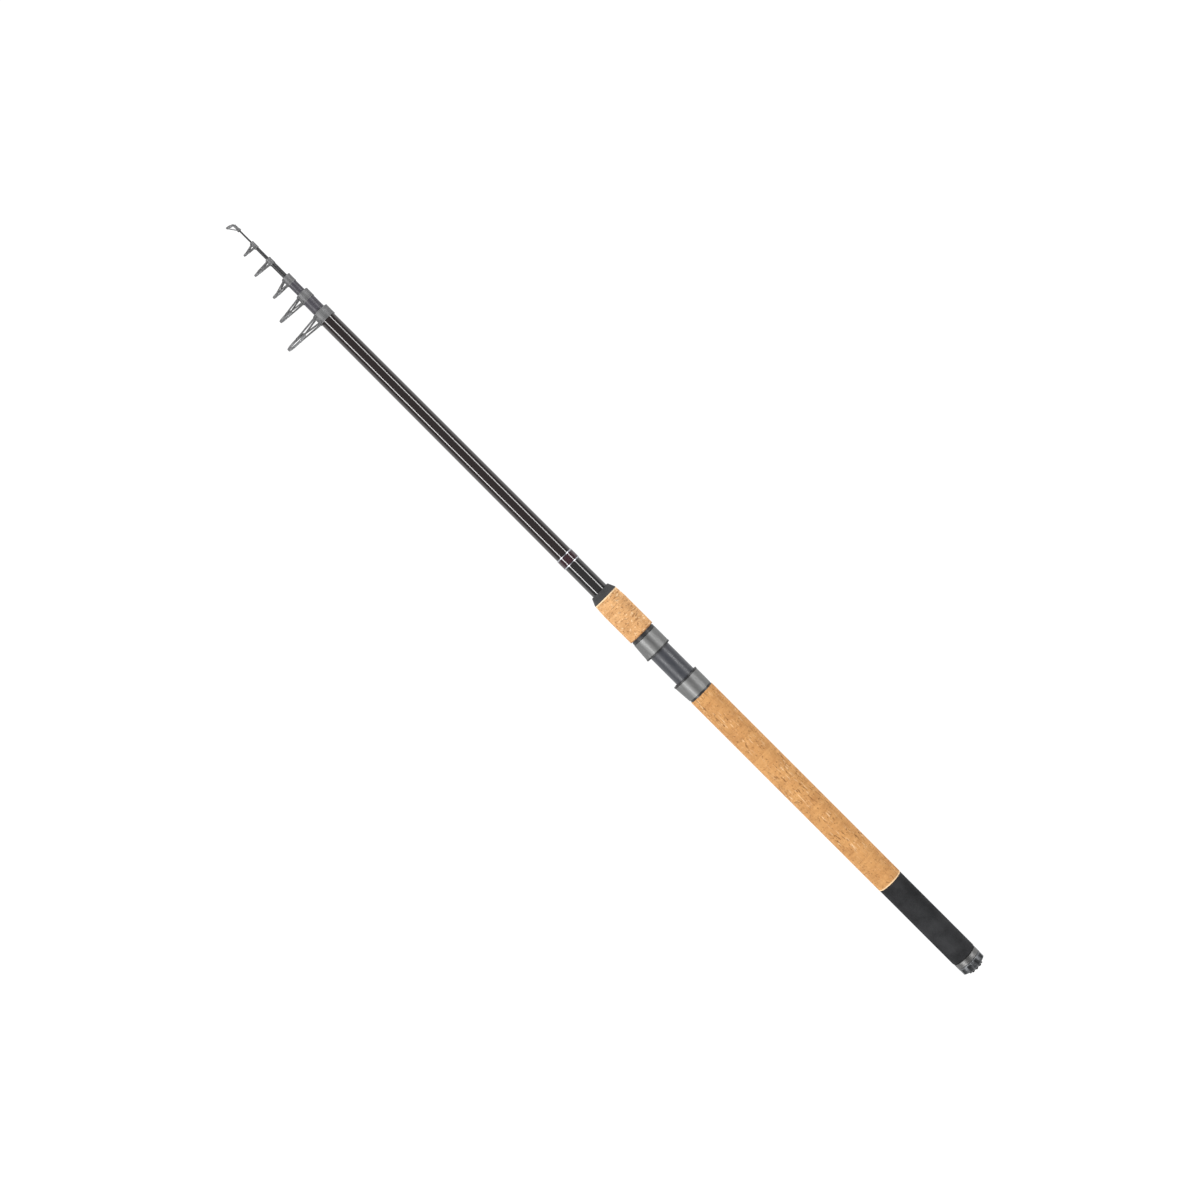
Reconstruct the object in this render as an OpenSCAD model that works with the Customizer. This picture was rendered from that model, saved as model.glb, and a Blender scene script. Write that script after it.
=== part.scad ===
// Telescopic fishing rod in six sections, closed, in millimetres.
// The rod lies along +X with its butt end at X = 0 and its axis on Y = Z = 0.
// The line guides and the reel pocket point to +Y.

/* [Blanks] */
// Length of the butt section, from the butt end to the front of its guide collar
butt_section_len = 974.7; // [940:0.1:1040]
// How far each inner section stands out of the one outside it when closed
stand_out = [26.8, 24, 26.6, 24.2, 24.9]; // [20:0.1:40]
// Outer diameter at the rear of the butt blank
butt_rear_d = 21.3; // [20.8:0.1:22.4]
// Outer diameter at the front of the butt blank
butt_front_d = 18.1; // [17.8:0.1:18.8]
// Wall of each hollow blank at its mouth, butt section first
mouth_wall = [1, 0.9, 0.75, 0.6, 0.5]; // [0.45:0.05:1.1]
// How much thicker a wall is at the mouth than along the blank
mouth_choke = 0.2; // [0.12:0.01:0.24]
// Radial room between each inner section and the mouth it comes out of, closed
mouth_room = [0.95, 1.2, 1.45, 0.35, 0.4]; // [0.3:0.05:1.6]
// Length over which each inner section locks in the mouth outside it
lock_len = [75, 70, 60, 50, 40]; // [30:1:100]
// Radial clearance of a locked joint
lock_gap = 0.04; // [0.02:0.01:0.08]

/* [Butt cap] */
// Diameter of the fluted knob and of the collar beside it
cap_d = 28.9; // [27:0.1:30]
// Length of the fluted knob
knob_len = 11; // [9:0.1:14]
// Diameter of the knob's rear face
knob_end_d = 19.4; // [19:0.1:22]
// Length of the knob's rear taper
knob_taper_len = 3.2; // [2:0.1:6]
// Number of finger flutes round the knob
flute_count = 10; // [8:1:12]
// Radius of a flute
flute_r = 3; // [2:0.1:3.2]
// Depth of a flute
flute_depth = 1.8; // [1:0.1:2.2]
// Knob left uncut in front of the flutes
flute_stop = 2; // [0.4:0.1:4]
// Length of the threaded plug under the knob
plug_len = 10.2; // [8:0.1:14]
// Thickness of the cushion that the inner sections rest on
cushion_t = 2.5; // [1:0.1:4]
// How far the rubber end pad stands proud of the knob
pad_proud = 1; // [0.6:0.1:4]
// Diameter of the end pad inside its lobes
pad_d = 16.4; // [15:0.1:17]
// Number of lobes round the end pad
pad_lobes = 10; // [8:1:14]
// Radius of a lobe
lobe_r = 1.8; // [1.2:0.1:1.9]
// Depth of the end pad's seat in the knob
pad_seat = 1.5; // [1:0.1:2.5]
// Length of the polished collar
collar_len = 6; // [4:0.1:14]
// Length of the threaded ferrule inside the blank
ferrule_len = 16; // [12:0.5:30]
// Thickness of the ferrule's flange behind the blank
ferrule_flange = 0.8; // [0.5:0.1:2]

/* [Rear grip] */
// Diameter of the foam grip
foam_d = 29.6; // [27:0.1:34]
// Length of the foam grip
foam_len = 110.1; // [80:0.1:140]
// Radius of the foam grip's rear edge
foam_edge = 2; // [0.5:0.1:3]
// Diameter of the rear cork
cork_d = 30; // [27:0.1:34]
// Length of the rear cork
cork_len = 279.6; // [240:0.1:300]
// Thickness that the cork rings are cut to
cork_ring = 12.8; // [10:0.1:16]
// Glue line between cork rings
glue_line = 0.08; // [0.04:0.01:0.15]

/* [Reel seat] */
// Diameter of the barrel
barrel_d = 24.7; // [24.2:0.1:25.2]
// Length of a hood's metal shell
hood_len = 19.8; // [16:0.1:26]
// Length of the black rim at a hood's mouth
rim_len = 1.7; // [1:0.1:3]
// How far the rim stands out past the shell
rim_proud = 0.25; // [0.1:0.05:0.6]
// Bare barrel between the two rims, at rest
seat_gap = 39.1; // [36:0.1:70]
// Wall of a hood's plastic liner
liner_wall = 1.1; // [0.9:0.05:1.4]
// Wall of a hood's metal shell
shell_wall = 1; // [0.8:0.05:1.3]
// Wall of the liner over the reel pocket
pocket_wall = 0.9; // [0.6:0.05:1.2]
// Radius of the reel pocket across the rod
pocket_r = 9.6; // [8.5:0.1:10.4]
// Height of the reel pocket over the barrel at the mouth
pocket_mouth = 2.15; // [1.6:0.05:3]
// Height of the reel pocket over the barrel at its closed end
pocket_end = 0.75; // [0.4:0.05:1.2]
// Length of the black trim ring behind the fixed hood
trim_len = 2.4; // [1.5:0.1:5]
// Diameter of the trim rings
trim_d = 28.8; // [28:0.1:29.2]
// Width of the barrel's keyway
key_w = 3; // [2:0.1:4]
// Depth of the barrel's keyway
key_depth = 1.1; // [0.6:0.1:1.3]
// How far the reel clamp can close from rest
close_travel = 8; // [2:0.5:12]
// How far the reel clamp can open from rest
open_travel = 20; // [5:0.5:24]

/* [Foregrip] */
// Diameter of the cork foregrip
fore_cork_d = 31.5; // [28.5:0.1:34]
// Diameter of the cork foregrip at its front, where its last ring tapers
fore_front_d = 29.8; // [28:0.1:31]
// Length of the cork foregrip
fore_cork_len = 53.7; // [48:0.1:80]
// Wall of the nut inside the foregrip
nut_wall = 1.1; // [0.8:0.1:1.4]
// Length of the glossy trim ring
fore_trim_len = 3; // [1.5:0.1:5]
// Length of the nut's flange, the dark groove beside the cork
nut_flange_len = 1.2; // [0.8:0.1:3]
// Diameter of the nut's flange
nut_flange_d = 28; // [27.6:0.1:28.6]
// Length of the conical winding check
check_len = 8.4; // [5:0.1:14]
// Diameter of the winding check at its front
check_front_d = 23.4; // [22:0.1:26]
// Length of the winding check's spigot in the nut
check_spigot = 4; // [2:0.1:8]

/* [Band] */
// Bare blank between the winding check and the band
band_gap = 41.1; // [30:0.1:80]
// Length of the band with its trim rings
band_len = 12.3; // [8:0.1:30]
// Length of each pale trim ring
band_trim = 1.3; // [0.8:0.1:3]
// Thickness of the whipping on the blank
band_t = 0.5; // [0.2:0.05:1]
// How far the trim rings stand out past the whipping
band_trim_proud = 0.1; // [0.05:0.05:0.3]

/* [Guides] */
// Length of each guide collar, butt section first
guide_len = [12.2, 10.7, 10.1, 8, 8.4]; // [6:0.1:16]
// Wall of each guide collar
guide_wall = [0.8, 0.5, 0.4, 0.4, 0.5]; // [0.35:0.05:1.2]
// Outer diameter of each guide's hoop
hoop_d = [25, 17, 12, 10, 8.2]; // [7:0.1:30]
// Distance from each collar to its hoop
hoop_stand = [18, 13.2, 7.7, 9.3, 5.05]; // [3:0.05:25]
// Distance from each collar's front back to its hoop's plane
hoop_back = [6.1, 5.9, 6.9, 3.5, 4.7]; // [3:0.1:9]
// Wall of each hoop
hoop_wall = [1.4, 1.2, 1, 0.9, 0.8]; // [0.6:0.05:1.6]
// Width of each hoop along the rod
hoop_w = [2.3, 2, 1.8, 1.6, 1.5]; // [1.2:0.1:3]
// How far each ring insert stands out of its hoop on either side
ring_proud = 0.15; // [0.05:0.05:0.3]
// Wall of each ring insert
ring_wall = [1, 0.8, 0.7, 0.6, 0.5]; // [0.4:0.05:1.2]
// Diameter of each guide's legs at the foot
leg_d = [1.9, 1.6, 1.3, 1.2, 1.1]; // [0.9:0.1:2.2]
// Width of each guide's feet along the rod
foot_w = [2.4, 2.1, 2, 1.7, 1.7]; // [1.2:0.1:3]
// Thickness of the feet
foot_t = 0.7; // [0.4:0.05:1]
// Angle from +Y at which the legs leave a collar
foot_angle = 38; // [25:1:50]
// Height of the rolled bead at each end of a collar
bead_h = 0.15; // [0.1:0.05:0.4]
// Length of a rolled bead
bead_len = 1.1; // [0.6:0.1:1.5]
// Thickness of a collar's lip in front of the blank
lip_t = 0.8; // [0.5:0.1:1.5]

/* [Tip top] */
// Length of tip blank inside the tube
tip_tube_depth = 7.6; // [5:0.1:14]
// Wall of the tube
tip_tube_wall = 0.6; // [0.4:0.05:0.8]
// Closed end of the tube
tip_tube_end = 0.8; // [0.5:0.1:1.5]
// Outer diameter of the tip hoop
tip_hoop_d = 9.2; // [7:0.1:12]
// Distance from the rod's axis to the tip hoop's centre
tip_hoop_drop = 4.1; // [3:0.1:5]
// Forward lean of the tip hoop
tip_lean = 18; // [5:1:30]
// Wall of the tip hoop
tip_hoop_wall = 0.7; // [0.5:0.05:1]
// Width of the tip hoop
tip_hoop_w = 1.1; // [1:0.1:2.5]
// Wall of the tip ring insert
tip_ring_wall = 0.5; // [0.4:0.05:0.8]
// Diameter of the tip top's two legs at the foot
tip_leg_d = 1; // [0.7:0.1:1.2]
// Angle from the tip hoop's far point at which the legs meet it
tip_leg_angle = 40; // [36:1:60]

/* [Clearances] */
// Glued or pressed joint, radial
glue_gap = 0.05; // [0.03:0.01:0.1]
// Threaded joint, radial
thread_gap = 0.1; // [0.05:0.01:0.2]
// Sliding hood on the barrel, radial
slide_gap = 0.15; // [0.05:0.01:0.2]
// Flat faces that part when a screw turns
face_gap = 0.2; // [0.05:0.05:0.4]
// Winding check over the blank, radial
check_gap = 0.3; // [0.2:0.05:0.6]
// Plug round the inner sections' rear ends, radial
pass_gap = 0.5; // [0.3:0.05:0.8]
// Inner sections' rear ends from the cushion
rest_gap = 0.05; // [0.02:0.01:0.2]

/* [Hidden] */
$fn = 96;
CUT = 1;
ARC_STEPS = 6;
EDGE = 0.4;
FOOT_OVERHANG = 6;
LEG_TOP = 0.4;
LEG_SHIFT = 0.37;
LEG_CLEAR = 0.05;
LUG_LEN = 1.24;
LUG_D = 0.7;
PAD_STEP = 1;
SILVER = [0.75, 0.75, 0.76];
BLACK = [0.08, 0.08, 0.09];
CORK = [0.85, 0.66, 0.42];
GREY_METAL = [0.55, 0.56, 0.57];

SECTIONS = 6;
GUIDES = SECTIONS - 1;

// Sum of a list's first n values
function total(list, n) = n <= 0 ? 0 : list[n - 1] + total(list, n - 1);

// Points of an arc in the plane of a profile, from angle a0 to angle a1
function arc(centre, r, a0, a1) = [
    for (k = [0:ARC_STEPS])
        let (a = a0 + (a1 - a0) * k / ARC_STEPS)
        centre + r * [cos(a), sin(a)]
];

// Places along the rod, from the butt end forward
knob_x = pad_proud;
collar_x = knob_x + knob_len + face_gap;
foam_x = collar_x + collar_len;
cork_x = foam_x + foam_len;
trim_x = cork_x + cork_len;
fixed_x = trim_x + trim_len;
sliding_x = fixed_x + 2 * (hood_len + rim_len) + seat_gap;
nut_x = sliding_x + face_gap;
flange_x = nut_x + fore_trim_len;
fore_x = flange_x + nut_flange_len;
check_x = fore_x + fore_cork_len;
band_x = check_x + check_len + band_gap;
blank_x = collar_x + ferrule_flange;
plug_x = knob_x + knob_len;
cushion_x = plug_x + plug_len;
rest_x = cushion_x + cushion_t + rest_gap;
barrel_end_x = check_x - check_spigot - close_travel - CUT;

// Blanks: index 0 is the butt section and 5 is the tip
lock_taper = 0.75 * mouth_choke;
function front_r(i) = butt_front_d / 2 - total(mouth_wall, i) - total(mouth_room, i);
function mouth_r(i) = front_r(i) - mouth_wall[i];
function body_wall(i) = mouth_wall[i] - mouth_choke;
function section_x(i) = butt_section_len + total(stand_out, i);
function blank_end_x(i) = section_x(i) - (i < GUIDES ? lip_t : 0);
function rear_x(i) = i == 0 ? blank_x : rest_x;
function rear_r(i) = i == 0 ? butt_rear_d / 2 : mouth_r(i - 1) + lock_taper - lock_gap;
function swell_len(i) = i == 0 ? 0 : lock_len[i - 1];
function swell_r(i) = rear_r(i) - (i == 0 ? 0 : lock_taper);

// Outer radius of a blank at x, in front of its swollen rear end
function blank_r(i, x) =
    let (x0 = rear_x(i) + swell_len(i))
    swell_r(i) + (front_r(i) - swell_r(i)) * (x - x0) / (blank_end_x(i) - x0);
function seat_r(x) = blank_r(0, x) + glue_gap;

// Reel seat radii
barrel_r = barrel_d / 2;
liner_bore_r = barrel_r + slide_gap;
liner_r = liner_bore_r + liner_wall;
shell_bore_r = liner_r + glue_gap;
hood_r = shell_bore_r + shell_wall;
pocket_liner_r = pocket_r + pocket_wall;
pocket_shell_r = pocket_liner_r + glue_gap;
pocket_hood_r = pocket_shell_r + shell_wall;
pocket_y = barrel_r + pocket_end - pocket_r;
pocket_tilt = atan((pocket_mouth - pocket_end) / hood_len);

// Snap joint between a hood's closed end and the ring behind it
SNAP_LEN = 2.2;
SNAP_ROOM = 0.25;
SNAP_BEAD = 0.8;
snap_r = shell_bore_r - SNAP_ROOM;
liner_x = SNAP_LEN + face_gap;
key_run = close_travel + liner_x + hood_len + rim_len;

nut_bore_r = barrel_r + slide_gap;
nut_r = nut_bore_r + nut_wall;
plug_r = rear_r(1) + pass_gap;
ferrule_bore_r = plug_r + thread_gap;
pad_seat_r = pad_d / 2 - PAD_STEP;

// Turns local Z into the rod's +X and leaves +Y as it is
module along() {
    rotate([0, 90, 0]) children();
}

// A turned piece: points are [radius, place along the rod]
module turned(points) {
    along() rotate_extrude() polygon(points);
}

// A plain turned ring between two places
module tube(x0, x1, r_in, r_out) {
    turned([[r_in, x0], [r_out, x0], [r_out, x1], [r_in, x1]]);
}

// A round bar that tapers from p to q
module strut(p, q, d0, d1) {
    d = q - p;
    len = norm(d);
    translate(p)
        rotate([0, acos(d[2] / len), atan2(d[1], d[0])])
            cylinder(h = len, d1 = d0, d2 = d1);
}

// A hollow tapered blank with a swollen rear end and a choked mouth, or the solid tip
module blank(i) {
    x0 = rear_x(i);
    x1 = x0 + swell_len(i);
    x3 = blank_end_x(i);
    swell = i == 0 ? [] : [[swell_r(i), x1]];
    outside = concat([[rear_r(i), x0]], swell, [[front_r(i), x3]]);
    if (i == GUIDES) {
        turned(concat([[0, x0]], outside, [[0, x3]]));
    } else {
        x2 = x3 - lock_len[i];
        wall = body_wall(i);
        mouth = [
            [mouth_r(i), x3],
            [mouth_r(i) + lock_taper, x2],
            [blank_r(i, x2) - wall, x2]
        ];
        rear = [for (p = swell) [p[0] - wall, p[1]]];
        turned(concat(outside, mouth, rear, [[rear_r(i) - wall, x0]]));
    }
}

module butt_blank() {
    color([0.13, 0.1, 0.09]) blank(0);
}

module inner_blank(i) {
    color([0.2, 0.19, 0.2]) blank(i);
}

// Threaded sleeve glued into the blank, with a flange over the blank's rear end
module butt_ferrule() {
    sleeve_x = collar_x + ferrule_len;
    sleeve_r = blank_r(0, sleeve_x) - body_wall(0) - glue_gap;
    color(SILVER) turned([
        [ferrule_bore_r, collar_x],
        [rear_r(0), collar_x],
        [rear_r(0), blank_x],
        [sleeve_r, blank_x],
        [sleeve_r, sleeve_x],
        [ferrule_bore_r, sleeve_x]
    ]);
}

module butt_collar() {
    r = cap_d / 2;
    color(SILVER) turned(concat(
        [[rear_r(0) + glue_gap, collar_x]],
        arc([r - EDGE, collar_x + EDGE], EDGE, -90, 0),
        arc([r - EDGE, foam_x - EDGE], EDGE, 0, 90),
        [[rear_r(0) + glue_gap, foam_x]]
    ));
}

module rear_foam_grip() {
    r = foam_d / 2;
    color(BLACK) turned(concat(
        [[seat_r(foam_x), foam_x]],
        arc([r - foam_edge, foam_x + foam_edge], foam_edge, -90, 0),
        [[r, cork_x], [seat_r(cork_x), cork_x]]
    ));
}

// A stack of glued cork rings, bored to the taper between r0 and r1,
// its front ring tapering from d to front_d
module cork_stack(x0, x1, r0, r1, d, front_d) {
    count = round((x1 - x0) / cork_ring);
    pitch = (x1 - x0) / count;
    for (k = [0:count - 1]) {
        a = x0 + k * pitch;
        b = a + pitch - (k < count - 1 ? glue_line : 0);
        bore_a = r0 + (r1 - r0) * (a - x0) / (x1 - x0);
        bore_b = r0 + (r1 - r0) * (b - x0) / (x1 - x0);
        front_r = (k < count - 1 ? d : front_d) / 2;
        turned([[bore_a, a], [d / 2, a], [front_r, b], [bore_b, b]]);
    }
}

module rear_cork_grip() {
    color(CORK) cork_stack(cork_x, trim_x, seat_r(cork_x), seat_r(trim_x), cork_d, cork_d);
}

// Black ring behind the fixed hood, with the bead that the hood snaps over
module rear_trim_ring() {
    bore_r = barrel_r + glue_gap;
    bead_x = fixed_x + (SNAP_LEN - SNAP_BEAD) / 2;
    color(BLACK) turned([
        [bore_r, trim_x],
        [trim_d / 2, trim_x],
        [trim_d / 2, fixed_x],
        [snap_r, fixed_x],
        [snap_r, bead_x],
        [snap_r + 2 * SNAP_ROOM, bead_x + SNAP_BEAD / 2],
        [snap_r, bead_x + SNAP_BEAD],
        [snap_r, fixed_x + SNAP_LEN],
        [bore_r, fixed_x + SNAP_LEN]
    ]);
}

module reel_seat_barrel() {
    key_x = sliding_x - key_run;
    color([0.3, 0.3, 0.31]) difference() {
        turned([
            [seat_r(trim_x), trim_x],
            [barrel_r, trim_x],
            [barrel_r, barrel_end_x - EDGE],
            [barrel_r - EDGE, barrel_end_x],
            [seat_r(barrel_end_x), barrel_end_x]
        ]);
        translate([key_x, -barrel_r - CUT, -key_w / 2])
            cube([barrel_end_x - key_x + CUT, key_depth + CUT, key_w]);
    }
}

// A hood's outer or inner form from local z0 to z1, its closed end at z = 0:
// a round sleeve joined to a tilted round tunnel over the reel foot
module hood_form(sleeve_r, tunnel_r, z0, z1) {
    span = 4 * hood_r;
    translate([0, 0, z0]) cylinder(h = z1 - z0, r = sleeve_r);
    intersection() {
        translate([0, pocket_y, 0])
            rotate([-pocket_tilt, 0, 0])
                translate([0, 0, -hood_len]) cylinder(h = 4 * hood_len, r = tunnel_r);
        translate([-span / 2, -span / 2, z0]) cube([span, span, z1 - z0]);
    }
}

// Metal shell of a hood, with a groove for the snap bead
module hood_shell() {
    groove = SNAP_BEAD + 2 * SNAP_ROOM;
    difference() {
        hood_form(hood_r, pocket_hood_r, 0, hood_len);
        hood_form(shell_bore_r, pocket_shell_r, -CUT, hood_len + CUT);
        translate([0, 0, SNAP_LEN / 2 - groove / 2])
            cylinder(h = groove, r = shell_bore_r + 2 * SNAP_ROOM);
    }
}

// Plastic liner of a hood, with its rim and the pocket that takes the reel foot
module hood_liner(bore_r) {
    mouth = hood_len + rim_len;
    difference() {
        union() {
            hood_form(liner_r, pocket_liner_r, liner_x, hood_len);
            hood_form(hood_r + rim_proud, pocket_hood_r + rim_proud, hood_len, mouth);
        }
        translate([0, 0, -CUT]) cylinder(h = mouth + 2 * CUT, r = bore_r);
        hood_form(bore_r, pocket_r, liner_x + pocket_wall, mouth + CUT);
    }
}

// Puts a hood with its closed end at x, its mouth to the tip or to the butt
module hood_place(x, to_tip) {
    translate([x, 0, 0])
        along()
            mirror([0, 0, to_tip ? 0 : 1]) children();
}

module fixed_hood() {
    color(SILVER) hood_place(fixed_x, true) hood_shell();
}

module fixed_hood_liner() {
    color(BLACK) hood_place(fixed_x, true) hood_liner(barrel_r + glue_gap);
}

module sliding_hood() {
    color(SILVER) hood_place(sliding_x, false) hood_shell();
}

// The sliding hood's liner carries a key in the barrel's keyway
module sliding_hood_liner() {
    rise = key_depth - slide_gap;
    width = key_w - 2 * slide_gap;
    color(BLACK) hood_place(sliding_x, false) union() {
        hood_liner(liner_bore_r);
        intersection() {
            translate([-width / 2, -liner_r, liner_x])
                cube([width, liner_r - barrel_r + rise, hood_len + rim_len - liner_x]);
            translate([0, 0, liner_x]) cylinder(h = hood_len + rim_len, r = liner_bore_r + liner_wall / 2);
        }
    }
}

module band_whipping() {
    a = band_x + band_trim + glue_gap;
    b = band_x + band_len - band_trim - glue_gap;
    color([0.3, 0.08, 0.09]) turned([
        [seat_r(a), a],
        [seat_r(a) + band_t, a],
        [seat_r(b) + band_t, b],
        [seat_r(b), b]
    ]);
}

module band_trim_rings() {
    r = seat_r(band_x) + band_t + band_trim_proud;
    bevel = band_trim / 4;
    color([0.8, 0.82, 0.85])
        for (a = [band_x, band_x + band_len - band_trim]) {
            b = a + band_trim;
            turned([
                [seat_r(a), a],
                [r - bevel / 2, a],
                [r, a + bevel],
                [r, b - bevel],
                [r - bevel / 2, b],
                [seat_r(b), b]
            ]);
        }
}

// Threaded sleeve of the foregrip, with the snap bead that carries the sliding hood
module foregrip_nut() {
    snap_x = sliding_x - SNAP_LEN;
    bead_x = snap_x + (SNAP_LEN - SNAP_BEAD) / 2;
    color(BLACK) turned([
        [nut_bore_r, snap_x],
        [snap_r, snap_x],
        [snap_r, bead_x],
        [snap_r + 2 * SNAP_ROOM, bead_x + SNAP_BEAD / 2],
        [snap_r, bead_x + SNAP_BEAD],
        [snap_r, nut_x],
        [nut_r, nut_x],
        [nut_r, flange_x],
        [nut_flange_d / 2, flange_x],
        [nut_flange_d / 2, fore_x],
        [nut_r, fore_x],
        [nut_r, check_x],
        [nut_bore_r, check_x]
    ]);
}

module foregrip_trim_ring() {
    r = trim_d / 2 + EDGE / 2;
    color(BLACK) turned(concat(
        [[nut_r + glue_gap, nut_x]],
        arc([r - EDGE, nut_x + EDGE], EDGE, -90, 0),
        arc([r - EDGE, flange_x - EDGE], EDGE, 0, 90),
        [[nut_r + glue_gap, flange_x]]
    ));
}

module foregrip_cork() {
    bore_r = nut_r + glue_gap;
    color(CORK) cork_stack(fore_x, check_x, bore_r, bore_r, fore_cork_d, fore_front_d);
}

// Cone in front of the foregrip, running along the blank as the foregrip turns
module winding_check() {
    front_x = check_x + check_len;
    base_r = fore_front_d / 2;
    nose_r = check_front_d / 2;
    bore_r = blank_r(0, check_x - check_spigot - close_travel) + check_gap;
    color(BLACK) turned(concat(
        [
            [bore_r, check_x - check_spigot],
            [nut_bore_r - glue_gap, check_x - check_spigot],
            [nut_bore_r - glue_gap, check_x],
            [base_r, check_x],
            [base_r, check_x + 2 * EDGE]
        ],
        arc([nose_r - EDGE, front_x - EDGE], EDGE, 30, 90),
        [[bore_r, front_x]]
    ));
}

module cap_cushion() {
    color(BLACK) tube(cushion_x, cushion_x + cushion_t, 0, plug_r - thread_gap);
}

// Fluted screw knob with its threaded plug and the seat of the end pad
module butt_cap() {
    r = cap_d / 2;
    color(SILVER) difference() {
        turned([
            [0, knob_x + pad_seat],
            [pad_seat_r + glue_gap, knob_x + pad_seat],
            [pad_seat_r + glue_gap, knob_x],
            [knob_end_d / 2, knob_x],
            [r, knob_x + knob_taper_len],
            [r, plug_x - EDGE],
            [r - EDGE, plug_x],
            [plug_r, plug_x],
            [plug_r, cushion_x - EDGE],
            [plug_r - EDGE, cushion_x],
            [0, cushion_x]
        ]);
        along()
            for (k = [0:flute_count - 1])
                rotate([0, 0, (k + 0.5) * 360 / flute_count])
                    translate([r - flute_depth + flute_r, 0, 0])
                        cylinder(h = plug_x - flute_stop, r = flute_r);
    }
}

// Rubber end pad with a lobed rim, seated in the knob
module cap_end_pad() {
    color(BLACK) along() {
        cylinder(h = pad_proud, d = pad_d);
        cylinder(h = knob_x + pad_seat, r = pad_seat_r);
        for (k = [0:pad_lobes - 1])
            rotate([0, 0, k * 360 / pad_lobes])
                translate([pad_d / 2 - lobe_r / 2, 0, 0]) cylinder(h = pad_proud, r = lobe_r);
    }
}

// Line guides: index 0 is the largest, on the butt section
function collar_rear_x(i) = section_x(i) - guide_len[i];
function collar_bore_r(i, x) = blank_r(i, x) + glue_gap;
function collar_r(i) = collar_bore_r(i, collar_rear_x(i)) + guide_wall[i];
function hoop_y(i) = collar_r(i) + hoop_stand[i] + hoop_d[i] / 2;
function hoop_x(i) = section_x(i) - hoop_back[i];
function ring_r(i) = hoop_d[i] / 2 - hoop_wall[i] - glue_gap;

// Collar with a rolled bead at each end and a lip over the end of the blank
module guide_collar(i) {
    a = collar_rear_x(i);
    b = section_x(i);
    end_x = blank_end_x(i);
    r = collar_r(i);
    slope = bead_len / 3;
    color(GREY_METAL) turned([
        [collar_bore_r(i, a), a],
        [r, a],
        [r + bead_h, a + slope],
        [r + bead_h, a + bead_len - slope],
        [r, a + bead_len],
        [r, b - bead_len],
        [r + bead_h, b - bead_len + slope],
        [r + bead_h, b - slope],
        [r, b],
        [mouth_r(i) + glue_gap, b],
        [mouth_r(i) + glue_gap, end_x + glue_gap],
        [collar_bore_r(i, end_x), end_x + glue_gap]
    ]);
}

// Room for a ring insert of radius r in a hoop
module ring_hole(r, hoop_width) {
    h = hoop_width + 2 * (ring_proud + glue_gap);
    translate([0, 0, -h / 2]) cylinder(h = h, r = r + glue_gap);
}

// Wire frame: two feet on the collar, the hoop with a lug on each side, and four legs to the lugs
module guide_frame(i) {
    r = collar_r(i) + glue_gap;
    root_r = r - leg_d[i];
    spread = foot_angle + asin(leg_d[i] / 2 / r) + FOOT_OVERHANG;
    foot = (r - leg_d[i] / 2) * [sin(foot_angle), cos(foot_angle)];
    reach = hoop_d[i] / 2 + LEG_TOP * hoop_w[i] / 2 + LEG_CLEAR;
    run = [foot[0], hoop_y(i) - foot[1]];
    top_angle = atan(run[0] / run[1]) + acos(reach / norm(run));
    lug = [reach * sin(top_angle), hoop_y(i) - reach * cos(top_angle)];
    rear_foot = collar_rear_x(i) + bead_len + glue_gap;
    front_foot = section_x(i) - bead_len - glue_gap - foot_w[i];
    color(GREY_METAL) along() difference() {
        union() {
            for (end = [-1, 1]) {
                z = end < 0 ? rear_foot : front_foot;
                rotate([0, 0, 90 - spread])
                    rotate_extrude(angle = 2 * spread)
                        translate([root_r, z]) square([leg_d[i] + foot_t, foot_w[i]]);
                for (side = [-1, 1])
                    strut(
                        [side * foot[0], foot[1], z + foot_w[i] / 2],
                        [side * lug[0], lug[1], hoop_x(i) + end * LEG_SHIFT * hoop_w[i]],
                        leg_d[i],
                        LEG_TOP * hoop_w[i]
                    );
            }
            for (side = [-1, 1])
                translate([side * lug[0], lug[1], hoop_x(i)])
                    cylinder(h = LUG_LEN * hoop_w[i], d = LUG_D * hoop_w[i], center = true);
            translate([0, hoop_y(i), hoop_x(i) - hoop_w[i] / 2]) cylinder(h = hoop_w[i], d = hoop_d[i]);
        }
        translate([0, 0, collar_rear_x(i)]) cylinder(h = guide_len[i], r = r);
        translate([0, hoop_y(i), hoop_x(i)]) ring_hole(ring_r(i), hoop_w[i]);
    }
}

// Ring insert with a smooth rounded throat, in its own plane at the origin
module ring_insert(r_out, wall, hoop_width) {
    width = hoop_width + 2 * ring_proud;
    throat = [
        for (k = [0:2 * ARC_STEPS])
            let (a = 90 * (k / ARC_STEPS - 1))
            [r_out - wall * (0.25 + 0.75 * cos(a)), width / 2 * sin(-a)]
    ];
    rotate_extrude() polygon(concat([[r_out, -width / 2], [r_out, width / 2]], throat));
}

module guide_ring(i) {
    color([0.35, 0.36, 0.37]) along()
        translate([0, hoop_y(i), hoop_x(i)]) ring_insert(ring_r(i), ring_wall[i], hoop_w[i]);
}

// Tip top: a tube on the tip blank, a leaning hoop and two legs
tip_tube_x = section_x(GUIDES) - tip_tube_depth;
tip_front_x = section_x(GUIDES) + tip_tube_end;
tip_bore_r = blank_r(GUIDES, tip_tube_x) + glue_gap;
tip_tube_r = tip_bore_r + tip_tube_wall;
tip_hoop_x = tip_front_x + glue_gap + tip_hoop_d / 2 * sin(tip_lean) + tip_hoop_w / 2 * cos(tip_lean);
tip_ring_r = tip_hoop_d / 2 - tip_hoop_wall - glue_gap;

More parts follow.
